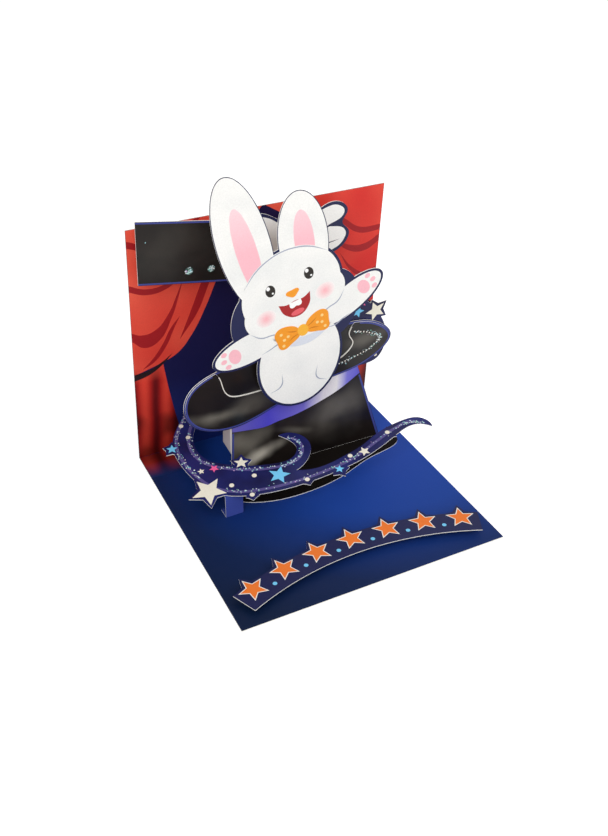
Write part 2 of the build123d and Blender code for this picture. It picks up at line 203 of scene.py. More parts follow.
def inset(loop, distance):
    """A loop moved inwards, away from the cut edge."""
    kept = [p for k, p in enumerate(loop) if (Vector(p[:2]) - Vector(loop[k - 1][:2])).length > SHORTEST_SIDE]
    moved = []
    for k, point in enumerate(kept):
        side, stretch = sideways(kept, k, True)
        moved.append((*(Vector(point[:2]) + side * distance * stretch), C))
    return moved


def edge_band(run, near, far):
    """Band that follows an open run of points, from one distance to another on its left."""
    sides = [sideways(run, k, False) for k in range(len(run))]
    bands = []
    for distance in (near, far):
        bands.append([(*(Vector(p[:2]) + s * distance * stretch), C) for p, (s, stretch) in zip(run, sides)])
    return bands[0] + bands[1][::-1]


def distance_to(point, loop):
    """Distance from a point to the nearest side of a loop."""
    nearest = math.inf
    for a, b in zip(loop, loop[1:] + loop[:1]):
        here, side = Vector(point[:2]) - Vector(a[:2]), Vector(b[:2]) - Vector(a[:2])
        share = max(0.0, min(1.0, here.dot(side) / side.length_squared))
        nearest = min(nearest, (here - share * side).length)
    return nearest


print("rabbit's die line:", [len(loop) for loop in die_line("rabbit", RABBIT)], "points")

# %% [markdown]
# ## Laying a film of ink
#
# Ink is a film on the sheet, thinner than a hair. Here each colour is a closed plate that stands on its
# sheet, a few hundredths of a millimetre high, and colours printed over others stand a little higher.
# It is drawn in millimetres first, since small curves fill cleanly at that scale, and then laid on its
# plane. An image could carry the whole print, but shapes keep their edges sharp however near one looks.

# %% Print
INK = 0.03


def place(name, mesh, material):
    """Put a finished mesh into the scene as a piece of the card."""
    mesh.materials.clear()
    mesh.materials.append(material)
    piece = bpy.data.objects.new(name, mesh)
    bpy.context.collection.objects.link(piece)
    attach(piece, "root")
    return piece


def print_field(name, sheet, outlines, material, layer=1):
    """One printed colour as a closed plate: every outline is filled, and one inside another is a hole."""
    curve = bpy.data.curves.new(name, "CURVE")
    curve.dimensions, curve.fill_mode, curve.resolution_u = "2D", "BOTH", 8
    curve.extrude = layer * INK / 2
    for outline in outlines:
        spline = curve.splines.new("BEZIER")
        spline.use_cyclic_u = True
        spline.bezier_points.add(len(outline) - 1)
        for knot, point in zip(spline.bezier_points, outline):
            knot.co = (point[0], point[1], 0)
            knot.handle_left_type = knot.handle_right_type = "VECTOR" if len(point) > 2 else "AUTO"
    drawing = bpy.data.objects.new(name, curve)
    bpy.context.collection.objects.link(drawing)
    mesh = bpy.data.meshes.new_from_object(drawing.evaluated_get(bpy.context.evaluated_depsgraph_get()))
    bpy.data.objects.remove(drawing)
    film = bmesh.new()
    film.from_mesh(mesh)
    bmesh.ops.remove_doubles(film, verts=film.verts, dist=0.002)
    bmesh.ops.dissolve_degenerate(film, edges=film.edges, dist=0.001)
    bmesh.ops.recalc_face_normals(film, faces=film.faces)
    laid = sheet @ Matrix.Scale(MM, 4) @ Matrix.Translation((0, 0, layer * INK / 2))
    bmesh.ops.transform(film, matrix=laid, verts=film.verts)
    film.to_mesh(mesh)
    film.free()
    return place(name, mesh, material)


print("one layer of ink in mm:", INK)

# %% [markdown]
# ## Glitter
#
# Glitter is cut from coated film: tiny six-sided flakes that fall on wet glue and set at all angles.
# The random tilts are what makes it sparkle, since only the flakes that happen to face a light are bright.
# A speckled texture could stand in for it, but flakes that are really there sparkle from every side.
# They are drawn somewhat larger than fine glitter, which would be too small to show here.

# %% Glitter
FLAKE_THICK, FLAKE_LIFT, FLAKE_TIP = 0.06, 0.12, 14


def glitter(name, sheet, spots, material, seed, sizes):
    """Six-sided flakes at these spots, each tipped a little its own way."""
    rng = random.Random(seed)
    corners, faces = [], []
    for x, y in spots:
        reach, turn = rng.uniform(*sizes) / 2, rng.uniform(0, math.tau)
        axis = Vector((rng.uniform(-1, 1), rng.uniform(-1, 1), 0.1))
        tip = Matrix.Rotation(math.radians(rng.uniform(0, FLAKE_TIP)), 4, axis)
        first = len(corners)
        for height in (0.0, FLAKE_THICK):
            for k in range(6):
                angle = turn + k * math.tau / 6
                corner = tip @ Vector((reach * math.cos(angle), reach * math.sin(angle), height))
                corners.append(sheet @ ((Vector((x, y, FLAKE_LIFT)) + corner) * MM))
        faces.append([first + k for k in reversed(range(6))])
        faces.append([first + 6 + k for k in range(6)])
        faces += [[first + k, first + (k + 1) % 6, first + 6 + (k + 1) % 6, first + 6 + k] for k in range(6)]
    mesh = bpy.data.meshes.new(name)
    mesh.from_pydata(corners, [], faces)
    return place(name, mesh, material)


def sprinkle(points, reach, count, seed):
    """Random spots along a line of points, up to about this far to each side."""
    rng = random.Random(seed)
    spots = []
    for _ in range(count):
        at = rng.uniform(0, len(points) - 1.001)
        here = Vector(points[int(at)][:2]).lerp(Vector(points[int(at) + 1][:2]), at % 1)
        spots.append((here.x + rng.gauss(0, reach / 2), here.y + rng.gauss(0, reach / 2)))
    return spots


print("first flake of a trial line:", [round(v, 2) for v in sprinkle([(0, 0), (10, 0)], 1, 1, 1)[0]])

# %% [markdown]
# ## Tools for the materials
#
# The patterns below are sized in millimetres, so two small functions turn a size into a texture's scale.
# A sheet of board has three looks: ink on its face, plain paper behind, and a white core where the knife
# went. Which one shows is told by the way the surface faces.

# %% Shader tools
MIX = dict(out=2, data_type="RGBA")
CORE, PLAIN_BACK = "#F4F2EC", "#E9E7E1"
FORWARD, UPWARD = tuple(CROWN.col[2].xyz), (0.0, 0.0, 1.0)


def linear(code):
    """Linear colour from a hex sRGB code."""
    channels = [int(code[k:k + 2], 16) / 255 for k in (1, 3, 5)]
    return [c / 12.92 if c <= 0.04045 else ((c + 0.055) / 1.055) ** 2.4 for c in channels] + [1.0]


def node(tree, kind, inputs=(), stops=(), out=0, **settings):
    """Add a node and return one of its outputs. An input is a number, a hex colour or a linked socket."""
    made = tree.nodes.new("ShaderNode" + kind)
    for key, value in settings.items():
        setattr(made, key, value)
    for key, value in dict(inputs).items():
        if isinstance(value, bpy.types.NodeSocket):
            tree.links.new(value, made.inputs[key])
        else:
            made.inputs[key].default_value = linear(value) if isinstance(value, str) else value
    for k, (position, code) in enumerate(stops):
        stop = made.color_ramp.elements[k] if k < 2 else made.color_ramp.elements.new(position)
        stop.position, stop.color = position, linear(code)
    return made.outputs[out] if made.outputs else made


def per_mm(size):
    """Texture scale at which one cell of a pattern is this many millimetres."""
    return 1 / (size * MM)


def wave_per_mm(size):
    """Scale at which one band of a wave texture, twenty radians per unit, is this many millimetres."""
    return math.tau / 20 / (size * MM)


def facing(tree, direction):
    """One where the surface faces within about 45 degrees of this way, and nought elsewhere."""
    normal = node(tree, "NewGeometry", out="True Normal")
    share = node(tree, "VectorMath", {0: normal, 1: direction}, out="Value", operation="DOT_PRODUCT")
    return node(tree, "Math", {0: share, 1: 0.7}, operation="GREATER_THAN")


def cut_sheet(front, direction):
    """Colour of a die-cut sheet: ink on its face, plain paper on its back and the core on its cut edges."""
    def colour(tree, here):
        away = facing(tree, tuple(-v for v in direction))
        behind = node(tree, "Mix", {0: away, 6: CORE, 7: PLAIN_BACK}, **MIX)
        face = front(tree, here) if callable(front) else front
        return node(tree, "Mix", {0: facing(tree, direction), 6: behind, 7: face}, **MIX)
    return colour


print("the hat faces", [round(v, 3) for v in FORWARD])

# %% [markdown]
# ## Printed board
#
# All the sheets are coated board, so the inks share one recipe. Ink sinks into paper unevenly, which leaves
# a mottle of about half a millimetre and a fine tooth. Thin varnished sheets never lie quite flat,
# and their slow waves bend the lights on them. Gloss and satin differ in the varnish.

# %% Board
MOTTLE, WAVES = 0.6, 26


def board(name, colour, roughness=0.45, coat=0.0, warp=0.0, metallic=0.0, shine=0.2):
    """Printed board. The colour is a hex code, or a function that builds one in the tree."""
    material = bpy.data.materials.new(name)
    material.use_nodes = True
    tree = material.node_tree
    tree.nodes.clear()
    here = node(tree, "TexCoord", out="Object")
    mottle = node(tree, "TexNoise", {"Vector": here, "Scale": per_mm(MOTTLE), "Detail": 3.0})
    thin = {"Value": mottle, "From Min": 0.3, "From Max": 0.7, "To Min": 0.95, "To Max": 1.03}
    ink = colour(tree, here) if callable(colour) else colour
    tint = {0: 1.0, 6: ink, 7: node(tree, "MapRange", thin)}
    normal = node(tree, "Bump", {"Height": mottle, "Strength": 0.18, "Distance": 0.03 * MM})
    if warp:
        waves = node(tree, "TexNoise", {"Vector": here, "Scale": per_mm(WAVES), "Detail": 1.0})
        bend = {"Height": waves, "Normal": normal, "Strength": 1.0, "Distance": warp * MM}
        normal = node(tree, "Bump", bend)
    shader = node(tree, "BsdfPrincipled", {
        "Base Color": node(tree, "Mix", tint, blend_type="MULTIPLY", **MIX), "Roughness": roughness,
        "Metallic": metallic, "Specular IOR Level": shine, "Coat Weight": coat, "Coat Roughness": 0.1,
        "Normal": normal, "Coat Normal": normal,
    })
    node(tree, "OutputMaterial", {"Surface": shader})
    return material


def dress(material, *names):
    """Give CAD nodes a material."""
    for name in names:
        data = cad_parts[name].data
        data.materials.clear()
        data.materials.append(material)


print("mottle scale:", round(per_mm(MOTTLE)), "per metre")

# %% [markdown]
# ## The card
#
# The folded board is printed inside with a stage: a deep blue floor and a night-blue backdrop. The floor's
# blue carries a painted pool of light, lightest at the back on the right. Its outside is one plain dark blue.
# The board is satin coated, so the floor keeps its depth and shows only faint reflections of what stands on
# it. The inside and the outside are one folded sheet, so one material tells them apart by where they are and
# which way they face.

# %% Card board
def card_colour(tree, here):
    depth = node(tree, "SeparateXYZ", {0: here}, out="Y")
    height = node(tree, "SeparateXYZ", {0: here}, out="Z")
    # Painted pool of light: the floor's blue is lightest round this point and darkens away from it
    lit_at = (50 * MM, 40 * MM, BOARD * MM)
    away = node(tree, "VectorMath", {0: here, 1: lit_at}, out="Value", operation="DISTANCE")
    share = node(tree, "Math", {0: away, 1: per_mm(145)}, operation="MULTIPLY")
    floor_stops = ((0.0, "#2149AC"), (0.48, "#183E90"), (0.62, "#112F70"), (0.8, "#0C2049"), (1.0, "#081A38"))
    floor_blue_with_painted_light = node(tree, "ValToRGB", {0: share}, floor_stops)
    rise = node(tree, "Math", {0: height, 1: per_mm(130)}, operation="MULTIPLY")
    night_blue = node(tree, "ValToRGB", {0: rise}, ((0.0, "#1A2B6E"), (0.35, "#171847"), (1.0, "#1B123C")))
    # The top edge of the back panel faces up too, and the front edge of the floor faces forward
    low = node(tree, "Math", {0: height, 1: 5 * MM}, operation="LESS_THAN")
    far = node(tree, "Math", {0: depth, 1: -60 * MM}, operation="GREATER_THAN")
    is_floor = node(tree, "Math", {0: facing(tree, UPWARD), 1: low}, operation="MULTIPLY")
    is_back = node(tree, "Math", {0: facing(tree, FORWARD), 1: far}, operation="MULTIPLY")
    outer = node(tree, "Math", {0: facing(tree, (0, 0, -1)), 1: facing(tree, (0, 1, 0))}, operation="ADD")
    colour = node(tree, "Mix", {0: outer, 6: CORE, 7: "#171B42"}, **MIX)
    colour = node(tree, "Mix", {0: is_floor, 6: colour, 7: floor_blue_with_painted_light}, **MIX)
    return node(tree, "Mix", {0: is_back, 6: colour, 7: night_blue}, **MIX)


# Satin: the blues stay deep, and the edges of the board show a thin white line
dress(board("satin_coated_printed_board", card_colour, 0.5, warp=0.25, shine=0.12), "card")
print("card dressed")

# %% [markdown]
# ## The curtains
#
# Theatre curtains are printed on the backdrop: two drapes that sweep from the top middle to a dark tie-back,
# and fall from there to the fold. The left one runs out on the floor. Crescents of darker red are their
# folds, and the lower drapes carry soft painted shade, darker towards the floor. The edges are drawn as
# shapes, which stay sharp, and the soft painted shade is left to the ink.

# %% Curtain shapes
drapes = [
    [(-64.9, 129.9, C), (0, 129.9, C), (-10.6, 115.9), (-18.1, 104.8), (-22.7, 94.9), (-27.9, 82.2),
     (-35.4, 67.8), (-42.9, 59), (-51.3, 55.4), (-64.9, 51.5, C)],
    [(64.9, 129.9, C), (64.9, 62, C), (58, 66), (52.5, 72), (47.3, 80), (41.1, 87.2), (35.4, 97), (27, 109),
     (16, 120), (2, 129.9, C)],
    [(-64.9, 48.5, C), (-50.3, 55, C), (-47.8, 38.3), (-44.2, 19.1), (-40.8, 4.2), (-40.3, 0.05, C),
     (-64.9, 0.05, C)],
    [(64.9, 58, C), (64.9, 0.05, C), (42.5, 0.05, C), (43, 4), (46, 22), (49.5, 44), (53, 64, C)],
]
folds = [
    [(-64.9, 101.8, C), (-57, 98.3), (-48, 98.8), (-38, 104.5), (-28, 113, C), (-39, 102), (-48, 96),
     (-57, 95.2), (-64.9, 98.4, C)],
    [(-64.9, 76, C), (-60.5, 73.8), (-53.6, 74.8), (-46.9, 82), (-42.2, 92), (-39, 99.8, C), (-41.4, 91),
     (-45, 80.3), (-52.4, 68), (-58.9, 66.3), (-64.9, 71.3, C)],
    [(-41, 80, C), (-44.4, 73.2), (-48, 65.2), (-54.6, 56.9), (-60.5, 54, C), (-55.6, 58.6), (-49.8, 66.6),
     (-46, 74)],
    [(-22.8, 104, C), (-27, 92.6), (-32.2, 80), (-41.5, 66.6, C), (-36.2, 79.8), (-31.6, 92), (-27, 104, C)],
    [(-64.9, 121, C), (-52, 117), (-40, 121), (-30, 129.8, C), (-33, 129.8, C), (-41, 123.4), (-52, 120),
     (-64.9, 124.5, C)],
    [(64.9, 107.8, C), (53.6, 108.4), (45.4, 114), (36, 122, C), (44.6, 111.3), (53.4, 105.2),
     (64.9, 104.8, C)],
    [(64.9, 102.4, C), (57.3, 98.6), (48.8, 99.2), (37, 107, C), (48.2, 96.2), (57.6, 94.6), (64.9, 98.6, C)],
    [(64.9, 84, C), (58, 82), (51, 86), (43, 96, C), (50.4, 84), (58, 79.4), (64.9, 81.2, C)],
]
ties = [
    [(-64.9, 51.9, C), (-57, 52.8), (-51, 55.8), (-45.4, 59.6, C), (-50.3, 54.6), (-57, 50.2),
     (-64.9, 48.2, C)],
    [(64.9, 62.4, C), (58, 66.4), (52.2, 72.4, C), (54.6, 65.6), (59, 61.4), (64.9, 57.8, C)],
]
hems = [
    [(-64.9, 64.9, C), (-64.9, 46.5, C), (-50, 46.5), (-43, 50), (-40.8, 57), (-40.3, 64.9, C)],
]
print("curtain fields:", len(drapes) + len(folds) + len(ties) + len(hems))

# %% [markdown]
# ## Curtain inks
#
# The swags are a clear red with slow clouds of lighter red. Lower down the cloth hangs in pleats,
# which are soft bands eleven millimetres apart, from a dark wine to a clear red, with patches of painted
# shade.
# It darkens downwards with painted shade, and on the floor it fades into the blue.

# %% Curtain inks
TIE_LOW, TIE_HIGH = 46, 56
HEM_FULL, HEM_GONE = 58, 47


def curtain_red(tree, here):
    height = node(tree, "SeparateXYZ", {0: here}, out="Z")
    waves = {"Vector": here, "Scale": wave_per_mm(11), "Distortion": 3.0, "Detail Scale": 0.5}
    pleats = node(tree, "TexWave", waves, out="Fac")
    falling = node(tree, "ValToRGB", {0: pleats}, ((0.0, "#6A0C10"), (0.45, "#B8241F"), (1.0, "#E24232")))
    # Painted shade: darker towards the floor, and in soft patches
    painted_shade_downwards = node(tree, "MapRange", {"Value": height, "From Max": TIE_LOW * MM, "To Min": 0.45})
    painted_shade_patches = node(tree, "TexNoise", {"Vector": here, "Scale": per_mm(17), "Detail": 1.0})
    painted_shade_patches = node(tree, "MapRange", {"Value": painted_shade_patches, "From Min": 0.38, "From Max": 0.58, "To Min": 0.4})
    shade = node(tree, "Math", {0: painted_shade_downwards, 1: painted_shade_patches}, operation="MULTIPLY")
    falling = node(tree, "Mix", {0: 1.0, 6: falling, 7: shade}, blend_type="MULTIPLY", **MIX)
    cloud = node(tree, "TexNoise", {"Vector": here, "Scale": per_mm(38), "Detail": 1.0})
    swagged = node(tree, "ValToRGB", {0: cloud}, ((0.3, "#D42C27"), (0.7, "#EF614A")))
    high = node(tree, "MapRange", {"Value": height, "From Min": TIE_LOW * MM, "From Max": TIE_HIGH * MM})
    return node(tree, "Mix", {0: high, 6: falling, 7: swagged}, **MIX)


def hem_red(tree, here):
    depth = node(tree, "SeparateXYZ", {0: here}, out="Y")
    faded = node(tree, "MapRange", {"Value": depth, "From Min": HEM_FULL * MM, "From Max": HEM_GONE * MM})
    return node(tree, "Mix", {0: faded, 6: curtain_red(tree, here), 7: "#0E2659"}, **MIX)


# Satin reds: bright without a glare, so that the folds read as drawn
red = board("curtain_red_offset_ink", curtain_red)
faded_red = board("curtain_hem_airbrushed_ink", hem_red, 0.5)
dark_red = board("curtain_fold_dark_red_ink", "#A01A20")
# Near black with a wine cast, which sets the swags off from the falling cloth
tie_black = board("tie_back_black_ink", "#241418", 0.4)
print_field("curtain_drapes", BACK, drapes, red)
print_field("curtain_folds", BACK, folds, dark_red, 2)
print_field("curtain_ties", BACK, ties, tie_black, 3)
print_field("curtain_hems", FLOOR, hems, faded_red)
print("inks:", [m.name for m in (red, faded_red, dark_red, tie_black)])

# %% [markdown]
# ## The hat's black
#
# The hat is black with a brown cast under a gloss varnish. Soft pale painted highlights stand for reflections
# in its gloss, so the flat sheet looks round. Each painted highlight is an oval with a ragged edge.

# %% Hat black
# Painted highlights that stand for reflections in the gloss
CROWN_PAINTED_HIGHLIGHTS = (
    (-24, 21, 17, 12, 10, 0.21), (-15, 10, 19, 5.5, 24, 0.85), (4, 20, 12, 3, -20, 0.13),
    (27, 25, 28, 18, 10, 0.07), (29, 28, 15, 10, 10, 0.1),
)
BRIM_PAINTED_HIGHLIGHTS = ((-38, 42, 22, 5, -3, 0.21), (-20, 45, 30, 8, 12, 0.08), (40, 66, 12, 5, 10, 0.12))
SLEEVE_PAINTED_HIGHLIGHTS = ((-52, 119, 30, 17, 8, 0.025),)
FLAP_TOP, SIDE_FLAP_X, SIDE_FLAP_Y = 1.1, -29.5, 29.0


def hat_black(tree, here, lights=()):
    """Black ink with a painted sheen and painted highlights, each: middle x and z, half width, half height,
    slant and strength.
    """
    # Painted sheen: slow clouds of lighter black, where the gloss would show reflections
    cloud = node(tree, "TexNoise", {"Vector": here, "Scale": per_mm(22), "Detail": 2.0, "Distortion": 0.6})
    stir = node(tree, "TexNoise", {"Vector": here, "Scale": per_mm(14), "Detail": 1.5})
    colour = node(tree, "ValToRGB", {0: cloud}, ((0.35, "#14100F"), (0.75, "#261F1C")))
    # Each painted highlight lays pale colour over the black
    for x, z, wide, tall, slant, strength in lights:
        off = node(tree, "VectorMath", {0: here, 1: (x * MM, 0, z * MM)}, operation="SUBTRACT")
        lean = {"Vector": off, "Angle": math.radians(slant)}
        turned = node(tree, "VectorRotate", lean, rotation_type="Y_AXIS")
        spread = (per_mm(wide), 0, per_mm(tall))
        shares = node(tree, "VectorMath", {0: turned, 1: spread}, operation="MULTIPLY")
        reach = node(tree, "VectorMath", {0: shares}, out="Value", operation="LENGTH")
        ragged = node(tree, "Math", {0: stir, 1: 1.3, 2: reach}, operation="MULTIPLY_ADD")
        fade = {"Value": ragged, "From Min": 1.8, "From Max": 0.6, "To Max": strength}
        glow = node(tree, "MapRange", fade, interpolation_type="SMOOTHSTEP")
        colour = node(tree, "Mix", {0: glow, 6: colour, 7: "#D8D0BF"}, **MIX)
    return colour


def brim_colour(tree, here):
    return hat_black(tree, here, BRIM_PAINTED_HIGHLIGHTS)


def crown_colour(tree, here):
    """Black panel with painted sheen and highlights, floor flap, plain back, warm grey side flap and white
    cut edges.
    """
    across = node(tree, "SeparateXYZ", {0: here}, out="X")
    depth = node(tree, "SeparateXYZ", {0: here}, out="Y")
    height = node(tree, "SeparateXYZ", {0: here}, out="Z")
    above_flap = node(tree, "Math", {0: height, 1: FLAP_TOP * MM}, operation="GREATER_THAN")
    panel = node(tree, "Math", {0: facing(tree, FORWARD), 1: above_flap}, operation="MULTIPLY")
    face = node(tree, "Mix", {0: panel, 6: CORE, 7: hat_black(tree, here, CROWN_PAINTED_HIGHLIGHTS)}, **MIX)
    face = node(tree, "Mix", {0: facing(tree, UPWARD), 6: face, 7: "#120E0D"}, **MIX)
    back = facing(tree, tuple(-v for v in FORWARD))
    face = node(tree, "Mix", {0: back, 6: face, 7: PLAIN_BACK}, **MIX)
    left = node(tree, "Math", {0: across, 1: SIDE_FLAP_X * MM}, operation="LESS_THAN")
    behind = node(tree, "Math", {0: depth, 1: SIDE_FLAP_Y * MM}, operation="GREATER_THAN")
    flap = node(tree, "Math", {0: facing(tree, (-1, 0, 0)), 1: left}, operation="MULTIPLY")
    flap = node(tree, "Math", {0: flap, 1: behind}, operation="MULTIPLY")
    return node(tree, "Mix", {0: flap, 6: face, 7: "#C4BDBE"}, **MIX)


# Gloss black: dark and warm, with a thin sheen that wanders over the waves of the sheet, over its painted
# sheen and highlights
gloss_black = board("gloss_black_ink_with_painted_highlights", cut_sheet(brim_colour, FORWARD), 0.32, coat=0.2, warp=0.5)
dress(board("gloss_black_folded_board_with_painted_highlights", crown_colour, 0.32, coat=0.2, warp=0.5), "hat_crown")
dress(gloss_black, "hat_back_brim", "hat_front_lip")
FLAP = level(BOARD + SHEET)
flap_edge = inset(die_line("hat_crown", FLAP)[0], 0.12)
# Matt black: the flap on the floor is not varnished, so it lies there like a shadow
matt_black = board("matt_black_offset_ink", "#15110F", 0.7, shine=0.05)
print_field("crown_flap_black", FLAP, [flap_edge], matt_black)
print("printed lights:", len(CROWN_PAINTED_HIGHLIGHTS) + len(BRIM_PAINTED_HIGHLIGHTS), "points round the flap:", len(flap_edge))

# %% [markdown]
# ## Lines on the hat
#
# A violet line runs round the brim, just inside the cut, and down the sides of the crown.
# The lip is the near half of the brim: its outer run has the same line, and its inner run, the hat's mouth,
# has a pale one. The two runs are told apart by how near they are to the brim's own edge.

# %% Hat lines
RIM_REACH = 1.0
# Violet that is lighter than the black beside it, so that the brim's edge shows
violet = board("violet_line_ink", "#404890", 0.35)
# Warm off-white, which reads as a rim that catches the light
pale = board("pale_cream_line_ink", "#EFEAE0")
brim_edge = die_line("hat_back_brim", BRIM)[0]
print_field("brim_line", BRIM, [inset(brim_edge, 0.25), inset(brim_edge, 1.3)], violet)
lip_edge = inset(die_line("hat_front_lip", LIP)[0], 0.0)
at_rim = [distance_to(p, brim_edge) < RIM_REACH for p in lip_edge]
starts = [k for k in range(len(at_rim)) if at_rim[k] and not at_rim[k - 1]]
lip_edge = lip_edge[starts[0]:] + lip_edge[:starts[0]]
rim_count = sum(at_rim)
# Both lines end a little short of the corners where the two runs meet
print_field("lip_line", LIP, [edge_band(lip_edge[2:rim_count - 2], 0.2, 0.95)], violet)
print_field("lip_mouth_line", LIP, [edge_band(lip_edge[rim_count + 2:-2], 0.02, 0.42)], pale)
crown_sides = [
    [(-29.3, 0.6, C), (-28.4, 0.6, C), (-28.4, 28.2, C), (-29.3, 28.2, C)],
    [(53.6, 0.6, C), (39.0, 43.7, C), (38.0, 43.7, C), (52.5, 0.6, C)],
]
print_field("crown_side_lines", CROWN, crown_sides, violet)
print("runs on the rim:", len(starts), "points:", len(lip_edge), "on the rim:", rim_count)

# %% [markdown]
# ## Ribbon and trim
#
# The hat band shines like satin: violet at both ends, with a painted white highlight right of the middle. The
# highlight is painted as a ramp of colours from left to right, so it stays where it is when the card is
# turned.
# A dotted line runs round the right of the lip, and glitter glue has been drawn over it with a fine nozzle.

# %% Hat trim
RIBBON_LEFT, RIBBON_RIGHT, DOT_STEP = -30, 40, 1.7


def ribbon_colour_with_painted_highlight(tree, here):
    across = node(tree, "SeparateXYZ", {0: here}, out="X")
    ends = {"Value": across, "From Min": RIBBON_LEFT * MM, "From Max": RIBBON_RIGHT * MM}
    share = node(tree, "MapRange", ends)
    return node(tree, "ValToRGB", {0: share}, (
        (0.0, "#6A62B4"), (0.28, "#5048C6"), (0.55, "#7A70D0"), (0.7, "#E4DEE6"), (0.8, "#ECE8EA"),
        (0.88, "#7F7AD6"), (1.0, "#4B46C4"),
    ))


def flake_colour(tree, here):
    chance = node(tree, "NewGeometry", out="Random Per Island")
    return node(tree, "ValToRGB", {0: chance}, (
        (0.0, "#FFFFFF"), (0.3, "#D2F5FF"), (0.5, "#FFFFFF"), (0.65, "#8FE6EE"), (0.8, "#A6F0CC"),
        (1.0, "#E3B4EE"),
    ))


ribbon = [
    (-29.4, 29.1, C), (-20, 27.7), (-12.2, 27), (-5.2, 28.3), (4.7, 29.7), (17.8, 33.7), (27.7, 37.9),
    (38.6, 44.9, C), (36.5, 51.2, C), (19, 47.2), (-6, 39.6), (-20, 35), (-29.4, 32.8, C),
]
# Satin: one broad painted white highlight that makes the flat band look bent round the crown
satin = board("satin_violet_ribbon_ink", ribbon_colour_with_painted_highlight, 0.3, coat=0.2, warp=0.3)
print_field("hat_ribbon", CROWN, [ribbon], satin)
# Part mirror, part pale paint: each flake is bright or dull by its own tilt, and none goes quite dark
flakes = board("holographic_polyester_glitter", flake_colour, 0.22, metallic=0.35)
trim = [
    (33.2, 71.4), (40, 69.4), (44.7, 67), (47.6, 65.2), (48.5, 64.1), (46.2, 62.1), (42.3, 58.9),
    (36.1, 56.9), (30.9, 55.5), (24.5, 54.2),
]
dots = []
for a, b in zip(trim, trim[1:]):
    steps = max(1, round((Vector(b) - Vector(a)).length / DOT_STEP))
    for k in range(steps):
        dots.append(oval(*Vector(a).lerp(Vector(b), k / steps), 0.7, 0.7, count=8))
print_field("lip_trim_dots", LIP, dots, pale, 2)
glitter("lip_glitter", LIP, sprinkle(trim, 1.3, 90, 3), flakes, 4, (0.25, 0.55))
print("trim dots:", len(dots))

# %% [markdown]
# ## The rabbit's forms
#
# The rabbit is printed white, with a dark blue margin left round it where the die cut.
# White forms lie over each other as in a drawing: ears behind, then body, forelegs, head and cheeks.
# The ears are printed almost to the cut, so their margin is only a hair's width.

# %% Rabbit forms
def fur_colour(tree, here):
    cloud = node(tree, "TexNoise", {"Vector": here, "Scale": per_mm(16), "Detail": 1.0})
    return node(tree, "ValToRGB", {0: cloud}, ((0.35, "#EDEDEA"), (0.6, "#F4F3EF")))


def pink_with_painted_ear_light(tree, here):
    height = node(tree, "SeparateXYZ", {0: here}, out="Z")
    # Painted light: the pink pales up the ear
    up_the_ear = {"Value": height, "From Min": 128 * MM, "From Max": 154 * MM, "To Max": 0.75}
    painted_ear_light = node(tree, "MapRange", up_the_ear)
    return node(tree, "Mix", {0: painted_ear_light, 6: "#F9BCC6", 7: "#FBE3E6"}, **MIX)


MARGIN = "#20244A"
# Deep blue round the white, which makes the figure stand off the sheets behind it
dress(board("navy_margin_printed_sheet", cut_sheet(MARGIN, FORWARD), 0.42), "rabbit")
# White with the faintest cool clouds, so that large plain forms still look like printed paper
fur = board("white_fur_offset_ink", fur_colour)
# Pink that pales towards the tips of the ears: a painted light, as if light shone through them
pink = board("pink_ink_with_painted_ear_light", pink_with_painted_ear_light)
forms = (
    ("rabbit_ears", HEAD, [(-15, 137.5, 23.2, 69.2, 1), (11, 127.5, 23.2, 49.2, -5)], 1),
    ("rabbit_body", RABBIT, [(0, 66, 41.4, 51.4, 0)], 1),
    ("rabbit_forelegs", RABBIT, [(-25, 79, 15.4, 36.4, -72), (24, 93.5, 15.4, 36.4, -55)], 2),
    ("rabbit_head", HEAD, [(0, 105.5, 48.4, 44.4, 0)], 3),
    ("rabbit_cheeks", HEAD, [(-14.5, 98.2, 21.4, 21.4, 0), (14.5, 98.2, 21.4, 21.4, 0)], 4),
)
for name, sheet, ovals, layer in forms:
    print_field(name, sheet, [oval(*each, 24) for each in ovals], fur, layer)
ear_insides = [oval(-14.6, 134, 9.4, 46, 1), oval(11.4, 127.5, 9.4, 31, -5)]
print_field("ear_pinks", HEAD, ear_insides, pink, 2)
print("forms:", [form[0] for form in forms])

# %% [markdown]
# ## Paws, shades and lines
#
# Pink pads mark the open paws. A grey under the chin lifts the head off the chest, and fine grey lines
# part one white form from the next, since white on white has no edge of its own.

# %% Rabbit lines
def paw(x, y, axis):
    """A pad and three toes, on a paw that points along this angle."""
    along = Vector((math.cos(math.radians(axis)), math.sin(math.radians(axis))))
    across = Vector((-along.y, along.x))
    pads = [oval(x, y, 5.8, 8.2, axis)]
    for step, ahead in ((-1, 4.4), (0, 5.5), (1, 4.4)):
        toe = Vector((x, y)) + ahead * along + 3.7 * step * across
        pads.append(oval(toe.x, toe.y, 2.8, 2.5, axis))
    return pads


print_field("paw_pads", RABBIT, paw(30.8, 98.3, 35) + paw(-33, 76.4, 198), pink, 3)
# Cool grey, a soft shadow rather than a patch
grey = board("pale_grey_shade_ink", "#D9DDE6")
chin = [(-15, 81, C), (-7, 79.4), (0, 78.6), (8, 80), (16, 83.5, C), (8, 76), (0, 73.8), (-7, 75.2)]
print_field("rabbit_shade", RABBIT, [chin], grey, 2)
